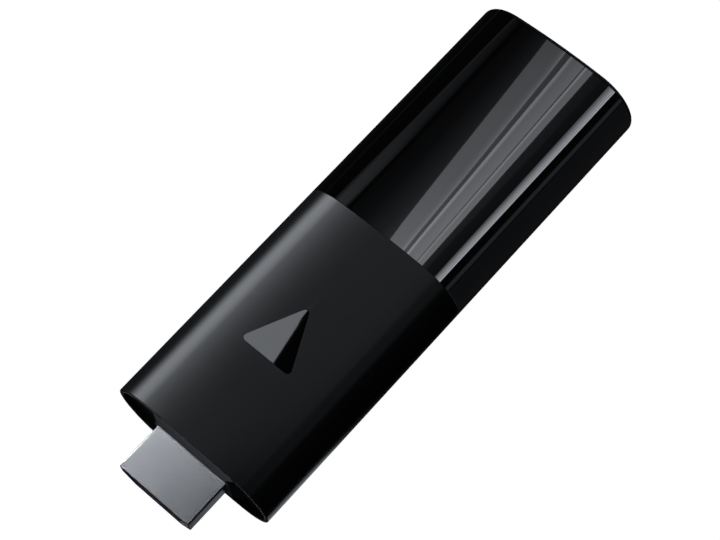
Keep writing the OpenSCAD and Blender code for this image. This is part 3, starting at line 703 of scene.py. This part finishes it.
BADGE_DEPTH = 0.4 * MM
layer_points = [
    at_joint(0, badge_low.y - MM),
    at_joint(0, badge_high.y + MM),
    at_joint(BADGE_DEPTH, badge_high.y + MM),
    at_joint(BADGE_DEPTH, badge_low.y - MM),
]
layer = draw_profile("layer", layer_points + layer_points[:1])
spin_round(layer)
bpy.ops.object.mode_set(mode="OBJECT")
badge = play_prism("play_badge", badge_low, badge_high, 0, POCKET_FLOOR, body_high.z + MM)
cut(badge, layer, "INTERSECT")
smooth(badge)
badge_gloss = finish(
    "badge_gloss", (0.0025, 0.0025, 0.003), (0.004, 0.004, 0.0046), (0.02, 0.035), 0.3, 0.00004, cloud=4.0
)
fit(badge, badge_gloss, "badge_gloss", "badge")
adhesive_film = finish(
    "adhesive_film", (0.42, 0.42, 0.37), (0.55, 0.55, 0.5), (0.4, 0.6), 0.2, 0.004, cloud=1.0
)
dress("badge_adhesive", adhesive_film)


# ---- End plate ----
# A black plate pressed into the sleeve's mouth, with a raised plinth that slopes in to the plug.
# The plinth's front, its upper slope and its lower slope are painted a paler grey than the rest, as painted
# light; its side slopes stay black.

PLATE_GAP = 0.04 * MM
PLATE_EDGE = 0.08 * MM
RECESS = 0.9 * MM
plinth_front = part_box("end_bezel")[0].y
bezel_front = lip_y + RECESS


def oval_slab(name, inset, y0, y1):
    """A solid slab of the casing's oval, from y0 to y1."""
    slab = draw_profile(name, [at_joint(inset, y0), at_joint(inset, y1)])
    spin_round(slab)
    for y in (y0, y1):
        pick(slab, "verts", lambda v: abs(v.co.y - y) < TINY)
        bpy.ops.mesh.edge_face_add()
    bpy.ops.mesh.select_all(action="SELECT")
    bpy.ops.mesh.normals_make_consistent(inside=False)
    bpy.ops.object.mode_set(mode="OBJECT")
    return slab


PLINTH_HALF = Vector((9.3, 0, 4.3)) * MM
PLINTH_CORNER = 1 * MM
PLINTH_FOOT = 0.1 * MM
PLINTH_RIM = 0.4 * MM
PLINTH_BROW = 1.4 * MM
PLINTH_EDGE = 0.05 * MM
PLINTH_ROOT = 0.5 * MM
plate = oval_slab("plate", MOUTH_LIP + PLATE_GAP, bezel_front, bezel_back)
modify(plate, "BEVEL", width=PLATE_EDGE, segments=2, angle_limit=math.radians(60))
plinth = block(
    "plinth",
    (-PLINTH_HALF.x, plinth_front, plug_middle.z - PLINTH_HALF.z),
    (PLINTH_HALF.x, bezel_front + PLINTH_ROOT, plug_middle.z + PLINTH_HALF.z),
)
round_edges(plinth, 1, PLINTH_CORNER, 6)
wake(plinth)
bpy.ops.object.mode_set(mode="EDIT")
bpy.ops.mesh.select_all(action="SELECT")
bpy.ops.mesh.bisect(plane_co=(0, bezel_front - PLINTH_FOOT, 0), plane_no=(0, 1, 0))
pick(plinth, "verts", lambda v: abs(v.co.y - plinth_front) < TINY)
front_half = (plug_high - plug_low) / 2 + Vector((PLINTH_RIM, 0, PLINTH_BROW))
bpy.ops.transform.resize(
    value=(front_half.x / PLINTH_HALF.x, 1, front_half.z / PLINTH_HALF.z),
    center_override=(0, plinth_front, plug_middle.z),
)
bpy.ops.object.mode_set(mode="OBJECT")
modify(plinth, "BEVEL", width=PLINTH_EDGE, segments=2, angle_limit=math.radians(25))
cut(plate, plinth, "UNION")
PLUG_CLEARANCE = 0.1 * MM
HOLE_CORNER = 0.3 * MM
clearance = Vector((PLUG_CLEARANCE, 0, PLUG_CLEARANCE))
plug_hole = block("plug_hole", plug_low - clearance, shell_high + clearance)
draw_in_foot(plug_hole, plug_middle.z - PLUG_SLANT, PLUG_FOOT, 0)
round_edges(plug_hole, 1, HOLE_CORNER)
cut(plate, plug_hole)
smooth(plate)
plate_black = finish(
    "plate_black",
    (0.002, 0.002, 0.0022),
    (0.003, 0.003, 0.0033),
    (0.42, 0.52),
    0.08,
    0.003,
    Specular_IOR_Level=0.2,
)
plinth_painted_light = finish("plinth_painted_light", (0.08, 0.08, 0.086), (0.1, 0.1, 0.107), (0.4, 0.46), 0.08, 0.002)
fit(plate, plate_black, "end_plate", "end_bezel")
plate.data.materials.append(plinth_painted_light)
# The plinth's front and its upper and lower slopes take the paler grey: painted light
for face in plate.data.polygons:
    if face.center.y < bezel_front - TINY and abs(face.normal.x) < 0.2:
        face.material_index = 1


# ---- Cap ----
# The back half of the casing: polished black plastic, closed at the far end with a small radius.
# A spigot over its upper half slides into the sleeve, with two hooks on its top.

END_WALL = 1.5 * MM
END_ROUND = 0.8 * MM
END_INSET = END_ROUND + 0.1 * MM
end_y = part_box("gloss_cap")[1].y
cap_points = [
    at_joint(WALL, end_y - END_WALL),
    at_joint(WALL, seam_y),
    at_joint(0, seam_y),
    at_joint(0, end_y),
    at_joint(END_INSET, end_y),
]
cap = draw_profile("cap", cap_points)
round_profile(cap, cap_points[2], SEAM_ROUND, 2)
round_profile(cap, cap_points[3], END_ROUND, 10)
split_run(cap, seam_y + SEAM_ROUND, end_y - END_ROUND, 12)
spin_round(cap)
for y in (end_y, end_y - END_WALL):
    pick(cap, "edges", lambda e: e.is_boundary and abs(e.verts[0].co.y - y) < TINY)
    bpy.ops.mesh.edge_face_add()
bpy.ops.mesh.select_all(action="SELECT")
bpy.ops.mesh.normals_make_consistent(inside=False)
bpy.ops.object.mode_set(mode="OBJECT")
SPIGOT_INSET = 1.34 * MM
SPIGOT_WALL = 0.8 * MM
SPIGOT_LENGTH = 4 * MM
SPIGOT_ROOT = 2 * MM
SPIGOT_LOW = 7.1 * MM
OVERLAP = 0.1 * MM
spigot_points = [
    at_joint(SPIGOT_INSET, seam_y - SPIGOT_LENGTH),
    at_joint(SPIGOT_INSET, seam_y + TINY),
    at_joint(WALL - OVERLAP, seam_y + OVERLAP),
    at_joint(WALL - OVERLAP, seam_y + SPIGOT_ROOT),
    at_joint(SPIGOT_INSET + SPIGOT_WALL, seam_y + SPIGOT_ROOT),
    at_joint(SPIGOT_INSET + SPIGOT_WALL, seam_y - SPIGOT_LENGTH),
]
spigot = draw_profile("spigot", spigot_points + spigot_points[:1])
spin_round(spigot)
bpy.ops.mesh.select_all(action="SELECT")
bpy.ops.mesh.bisect(plane_co=(0, 0, SPIGOT_LOW), plane_no=(0, 0, 1), use_fill=True, clear_inner=True)
bpy.ops.object.mode_set(mode="OBJECT")
HOOK = Vector((2.25, 0.45, 0.45)) * MM
HOOK_X = 4.6 * MM
HOOK_Y = 2.4 * MM
HOOK_ROOT = 0.5 * MM
for side in (-1, 1):
    hook_x = side * HOOK_X
    hook_y = seam_y - HOOK_Y
    hook = block(
        "hook",
        (hook_x - HOOK.x, hook_y - HOOK.y, body_high.z - SPIGOT_INSET - HOOK_ROOT),
        (hook_x + HOOK.x, hook_y + HOOK.y, body_high.z - SPIGOT_INSET + HOOK.z),
    )
    cut(spigot, hook, "UNION")
cut(cap, spigot, "UNION")
smooth(cap)
polished_casing = finish(
    "polished_casing",
    (0.0012, 0.0012, 0.0015),
    (0.0018, 0.0018, 0.0021),
    (0.018, 0.03),
    0.4,
    0.00004,
    cloud=9.0,
)
fit(cap, polished_casing, "polished_casing", "gloss_cap")


# ---- Floor ----
# A plain white sweep under the stick, lit evenly, with only a breath of shadow on it.
# Seen from below it lets the view through, so that the underside can be looked at.

bpy.ops.object.select_all(action="DESELECT")
bpy.ops.mesh.primitive_plane_add(size=6, location=(0, 0, -0.02 * MM))
floor = bpy.context.object
floor.name = "floor"
floor.data.name = "floor"
floor_white = bpy.data.materials.new("floor_white")
floor_white.use_nodes = True
nodes = floor_white.node_tree.nodes
links = floor_white.node_tree.links
nodes.remove(nodes["Principled BSDF"])
glow = nodes.new("ShaderNodeEmission")
glow.inputs["Strength"].default_value = 0.975
matte = nodes.new("ShaderNodeBsdfDiffuse")
matte.inputs["Color"].default_value = (0.5, 0.5, 0.5, 1)
both = nodes.new("ShaderNodeAddShader")
clear = nodes.new("ShaderNodeBsdfTransparent")
side_seen = nodes.new("ShaderNodeNewGeometry")
shown = nodes.new("ShaderNodeMixShader")
links.new(glow.outputs[0], both.inputs[0])
links.new(matte.outputs[0], both.inputs[1])
links.new(side_seen.outputs["Backfacing"], shown.inputs["Fac"])
links.new(both.outputs[0], shown.inputs[1])
links.new(clear.outputs[0], shown.inputs[2])
links.new(shown.outputs[0], nodes["Material Output"].inputs["Surface"])
floor.data.materials.append(floor_white)
floor.visible_shadow = False
floor.visible_diffuse = False
floor.visible_glossy = False
floor.visible_transmission = False


# ---- Lights ----
# Long light panels hang on a drum round the stick, and show as lengthwise bands in the gloss.
# Soft boxes on a smaller drum light the satin, the plug and the badge, each piece with its own.

DRUM = 500 * MM
SOFT_DRUM = 420 * MM
AXIS = Vector((0, 0, mid_z))
COOL_WHITE = (0.93, 0.975, 1.04)


def link_light(light, lit):
    """Makes a light shine on some pieces only."""
    receivers = bpy.data.collections.new(light.name + "_lights")
    for piece in lit:
        receivers.objects.link(piece)
    light.light_linking.receiver_collection = receivers


def panel(name, stations, *lit):
    """A light panel on the drum. Each station is a place along the stick, then the angles from
    straight up of the panel's columns there, then their levels."""
    columns = len(stations[0][1])
    bpy.ops.object.select_all(action="DESELECT")
    bpy.ops.mesh.primitive_grid_add(x_subdivisions=columns - 1, y_subdivisions=len(stations) - 1, size=MM)
    made = bpy.context.object
    made.name = name
    brightness = made.data.attributes.new("level", "FLOAT", "POINT")
    for row, (y, angles, levels) in enumerate(stations):
        for column, (degrees, level) in enumerate(zip(angles, levels)):
            angle = math.radians(degrees)
            number = row * columns + column
            made.data.vertices[number].co = AXIS + Vector((DRUM * math.sin(angle), y, DRUM * math.cos(angle)))
            brightness.data[number].value = level
    lamp = bpy.data.materials.new(name)
    lamp.use_nodes = True
    nodes = lamp.node_tree.nodes
    nodes.remove(nodes["Principled BSDF"])
    glow = nodes.new("ShaderNodeEmission")
    glow.inputs["Color"].default_value = (*COOL_WHITE, 1)
    drawn = nodes.new("ShaderNodeAttribute")
    drawn.attribute_name = "level"
    lamp.node_tree.links.new(drawn.outputs["Fac"], glow.inputs["Strength"])
    lamp.node_tree.links.new(glow.outputs[0], nodes["Material Output"].inputs["Surface"])
    made.data.materials.append(lamp)
    made.visible_camera = False
    made.visible_shadow = False
    link_light(made, lit)


def softbox(name, left, right, y0, y1, level, *lit, aside=0.0, turn=0.0):
    """A soft rectangular light between two angles and two places along the stick, of a radiance."""
    angle = math.radians((left + right) / 2)
    width = 2 * SOFT_DRUM * math.tan(math.radians((right - left) / 2))
    outward = Vector((math.sin(angle), 0, math.cos(angle)))
    across = Vector((math.cos(angle), 0, -math.sin(angle)))
    place = AXIS + outward * SOFT_DRUM + across * aside + Vector((0, (y0 + y1) / 2, 0))
    bpy.ops.object.light_add(type="AREA", location=place)
    lamp = bpy.context.object
    lamp.name = name
    lamp.rotation_euler = (Matrix.Rotation(angle, 3, "Y") @ Matrix.Rotation(turn, 3, "Z")).to_euler()
    lamp.data.shape = "RECTANGLE"
    lamp.data.size = width
    lamp.data.size_y = y1 - y0
    lamp.data.color = COOL_WHITE
    lamp.data.energy = level * width * (y1 - y0) * math.pi
    lamp.visible_camera = False
    link_light(lamp, lit)


START = 0 * MM
NEAR = 150 * MM
MIDDLE = 200 * MM
FAR = 280 * MM
# Three bands with lighter edges, and the dimmer gaps between them
panel(
    "band_wide",
    [
        (START, (-7.5, -6.6, -6.3, -6.1), (3.0, 3.0, 4.0, 5.0)),
        (NEAR, (-15.6, -12.2, -11.4, -11.0), (2.8, 2.9, 3.8, 5.4)),
        (MIDDLE, (-18.3, -14.4, -13.3, -12.7), (1.9, 1.9, 2.4, 3.4)),
        (FAR, (-22.5, -18.0, -16.9, -16.1), (1.1, 1.2, 1.6, 2.8)),
    ],
    cap,
)
panel(
    "gap_wide",
    [
        (START, (-6.1, -5.4), (1.6, 1.6)),
        (NEAR, (-11.0, -10.0), (1.6, 1.5)),
        (MIDDLE, (-12.7, -11.6), (1.1, 0.9)),
        (FAR, (-16.1, -14.3), (0.7, 0.6)),
    ],
    cap,
)
panel(
    "band_second",
    [
        (START, (-5.4, -5.1, -4.9, -3.7), (5.0, 5.0, 3.2, 3.2)),
        (NEAR, (-10.0, -9.6, -9.2, -6.8), (5.6, 5.6, 3.2, 3.8)),
        (FAR, (-14.3, -13.9, -13.2, -9.7), (3.6, 3.0, 1.8, 2.4)),
    ],
    cap,
)
panel(
    "gap_second",
    [
        (START, (-3.7, -3.5), (1.4, 1.4)),
        (NEAR, (-6.8, -6.5), (1.8, 1.8)),
        (FAR, (-9.7, -9.3), (0.5, 0.5)),
    ],
    cap,
)
panel(
    "band_third",
    [
        (START, (-3.5, -3.3, -3.1, -2.7), (4.4, 4.4, 3.2, 3.3)),
        (NEAR, (-6.5, -6.2, -5.9, -4.9), (4.6, 4.6, 3.3, 3.8)),
        (FAR, (-9.3, -8.9, -8.5, -6.8), (4.6, 3.8, 2.1, 2.4)),
    ],
    cap,
)
# Soft falls of grey on both sides of the bands
panel(
    "fall_left",
    [
        (START, (-38.0, -22.0, -12.0, -7.5), (0.04, 0.08, 0.25, 0.5)),
        (NEAR, (-29.0, -24.0, -19.0, -15.6), (0.04, 0.09, 0.26, 0.5)),
        (MIDDLE, (-29.0, -25.0, -21.5, -18.3), (0.04, 0.06, 0.16, 0.28)),
        (FAR, (-29.6, -27.0, -24.5, -22.5), (0.03, 0.05, 0.1, 0.16)),
    ],
    cap,
)
panel(
    "fall_right",
    [
        (START, (-2.7, 4.0, 27.5), (0.34, 0.13, 0.09)),
        (NEAR, (-4.9, 3.0, 27.5), (0.32, 0.13, 0.09)),
        (FAR, (-6.8, 1.0, 22.0), (0.17, 0.1, 0.08)),
    ],
    cap,
)
# Streak that brightens to its sharp right edge, with two fine dark lines in it
panel(
    "streak_soft",
    [(START, (27.5, 33.8), (1.2, 3.4)), (NEAR, (27.5, 33.8), (1.2, 3.4)), (FAR, (22.0, 30.0), (1.4, 3.4))],
    cap,
)
panel("streak_one", [(START, (34.4, 37.4), (4.6, 5.4)), (FAR, (30.4, 34.2), (3.8, 5.2))], cap)
panel("streak_two", [(START, (38.0, 41.4), (6.0, 6.6)), (FAR, (34.8, 39.4), (6.0, 6.8))], cap)
panel("streak_three", [(START, (42.0, 47.0), (7.2, 7.6)), (FAR, (40.1, 44.0), (7.4, 8.0))], cap)
# Faint lines near both edges
panel(
    "faint_left",
    [
        (START, (-48.0, -40.0, -34.5, -31.0, -30.0), (0.05, 0.3, 0.5, 0.45, 0.1)),
        (NEAR, (-48.0, -40.0, -34.5, -31.0, -30.0), (0.05, 0.3, 0.5, 0.45, 0.1)),
        (MIDDLE, (-42.0, -39.0, -35.0, -31.5, -30.0), (0.02, 0.2, 0.26, 0.2, 0.05)),
        (FAR, (-37.5, -35.5, -33.5, -32.0, -31.0), (0.01, 0.1, 0.2, 0.05, 0.02)),
    ],
    cap,
)
panel("faint_edge", [(START, (-76.0, -71.0), (0.05, 0.05)), (FAR, (-92.0, -86.0), (0.05, 0.05))], cap)
panel("faint_right", [(START, (66.0, 77.0), (0.34, 0.28)), (FAR, (64.0, 74.0), (0.3, 0.3))], cap)
panel(
    "faint_low",
    [(START, (80.0, 120.0, 160.0), (0.09, 0.06, 0.02)), (FAR, (77.0, 120.0, 160.0), (0.09, 0.06, 0.02))],
    cap,
)
# Soft light low on the left, in steps that brighten to its middle, and a dim one overhead
BEHIND = -40 * MM
BACK = 360 * MM
for number, (left, right, level) in enumerate(
    (
        (-90, -25, 0.2),
        (-82, -32, 0.8),
        (-76, -32, 1.2),
        (-70, -33, 1.2),
        (-65, -44, 0.9),
        (-59, -50, 0.7),
    )
):
    softbox(f"satin_side_{number}", left, right, BEHIND, BACK, level, sleeve)
OVER_LIP = 35 * MM
softbox("satin_top_lip", -30, -8, BEHIND, OVER_LIP, 0.25, sleeve, plate)
softbox("satin_top", -30, 32, OVER_LIP, BACK, 0.14, sleeve, plate)
softbox("satin_top_wide", -30, 60, OVER_LIP, BACK, 0.11, sleeve, plate)
# Light for the plug, which throws no shadow but its own
softbox("plug_side", -60, -19.5, -120 * MM, 300 * MM, 1.0, plug_shell)
softbox("plug_edge", -105, -62, -120 * MM, 300 * MM, 4.0, plug_shell)
plug_blockers = bpy.data.collections.new("plug_blockers")
plug_blockers.objects.link(plug_shell)
for light in ("plug_side", "plug_edge"):
    bpy.data.objects[light].light_linking.blocker_collection = plug_blockers
    bpy.data.objects[light].data.cycles.use_multiple_importance_sampling = False
softbox("plug_low_right", 140, 180, 0, 160 * MM, 0.12, plug_shell)
# Light on the plinth's front, from well in front of the stick
softbox("plinth_front", -50, 20, -600 * MM, -200 * MM, 0.6, plate)
# Soft light from both sides and from below, short of where the bands are seen
softbox("left_fill", -125, -75, -300 * MM, 70 * MM, 0.5, cap)
softbox("right_fill", 75, 125, -300 * MM, 70 * MM, 0.5, cap)
softbox("left_fill_satin", -110, -80, -160 * MM, -60 * MM, 0.4, sleeve)
softbox("right_fill_satin", 80, 110, -160 * MM, -60 * MM, 0.12, sleeve)
softbox("under_fill", 150, 210, -60 * MM, 60 * MM, 0.4, cap, sleeve)
# The light whose edge splits the badge
SPLIT_TURN = math.radians(43)
softbox("badge_split", -28.6, -6.0, -105 * MM, 147 * MM, 3.2, badge, aside=-61 * MM, turn=SPLIT_TURN)
# Even light on the floor, for its breath of shadow
softbox("floor_light", -45, 45, -400 * MM, 400 * MM, 0.12, floor)

world = bpy.data.worlds.new("studio")
bpy.context.scene.world = world
world.use_nodes = True
nodes = world.node_tree.nodes
links = world.node_tree.links
white = nodes.new("ShaderNodeBackground")
white.inputs["Strength"].default_value = 1.0
# The room is dark above and beyond the stick, and lighter in front of it and well behind it
toward = nodes.new("ShaderNodeTexCoord")
split = nodes.new("ShaderNodeSeparateXYZ")
in_front = nodes.new("ShaderNodeMapRange")
in_front.interpolation_type = "SMOOTHSTEP"
in_front.inputs["From Min"].default_value = -0.1
in_front.inputs["From Max"].default_value = -0.6
well_behind = nodes.new("ShaderNodeMapRange")
well_behind.interpolation_type = "SMOOTHSTEP"
well_behind.inputs["From Min"].default_value = 0.6
well_behind.inputs["From Max"].default_value = 0.95
either = nodes.new("ShaderNodeMath")
either.operation = "MAXIMUM"
above = nodes.new("ShaderNodeMapRange")
above.interpolation_type = "SMOOTHSTEP"
above.inputs["From Min"].default_value = -0.35
above.inputs["From Max"].default_value = 0.35
lightened = nodes.new("ShaderNodeMath")
lightened.operation = "MULTIPLY"
room = nodes.new("ShaderNodeMapRange")
room.inputs["To Min"].default_value = 0.013
room.inputs["To Max"].default_value = 0.15
dim = nodes["Background"]
dim.inputs["Color"].default_value = (*COOL_WHITE, 1)
seen = nodes.new("ShaderNodeLightPath")
sky = nodes.new("ShaderNodeMixShader")
links.new(toward.outputs["Generated"], split.inputs[0])
links.new(split.outputs["Y"], in_front.inputs["Value"])
links.new(split.outputs["Y"], well_behind.inputs["Value"])
links.new(in_front.outputs["Result"], either.inputs[0])
links.new(well_behind.outputs["Result"], either.inputs[1])
links.new(split.outputs["Z"], above.inputs["Value"])
links.new(either.outputs[0], lightened.inputs[0])
links.new(above.outputs["Result"], lightened.inputs[1])
links.new(lightened.outputs[0], room.inputs["Value"])
links.new(room.outputs["Result"], dim.inputs["Strength"])
links.new(seen.outputs["Is Camera Ray"], sky.inputs["Fac"])
links.new(dim.outputs[0], sky.inputs[1])
links.new(white.outputs[0], sky.inputs[2])
links.new(sky.outputs[0], nodes["World Output"].inputs["Surface"])


# ---- Camera ----
# A long lens looks down at the stick from its plug end and right side, rolled so that
# the stick runs from the lower left of the picture to the upper right.

LENS = 95.31
CAMERA_PLACE = Vector((87.14, -78.35, 270.70)) * MM
CAMERA_AIM = Vector((-0.954, -0.167, 7.5)) * MM
CAMERA_ROLL = math.radians(43.378)
backward = (CAMERA_PLACE - CAMERA_AIM).normalized()
upward = (Vector((0, 1, 0)) - backward * backward.y).normalized()
sideways = upward.cross(backward)
picture_right = math.cos(CAMERA_ROLL) * sideways + math.sin(CAMERA_ROLL) * upward
picture_up = math.cos(CAMERA_ROLL) * upward - math.sin(CAMERA_ROLL) * sideways
bpy.ops.object.camera_add(location=CAMERA_PLACE)
camera = bpy.context.object
camera.data.lens = LENS
camera.data.sensor_width = 36
camera.data.clip_start = 10 * MM
camera.data.clip_end = 20
turned = Matrix((picture_right, picture_up, backward)).transposed()
camera.rotation_euler = turned.to_euler()
bpy.context.scene.camera = camera
bpy.context.scene.view_settings.view_transform = "Standard"
bpy.context.scene.view_settings.look = "None"
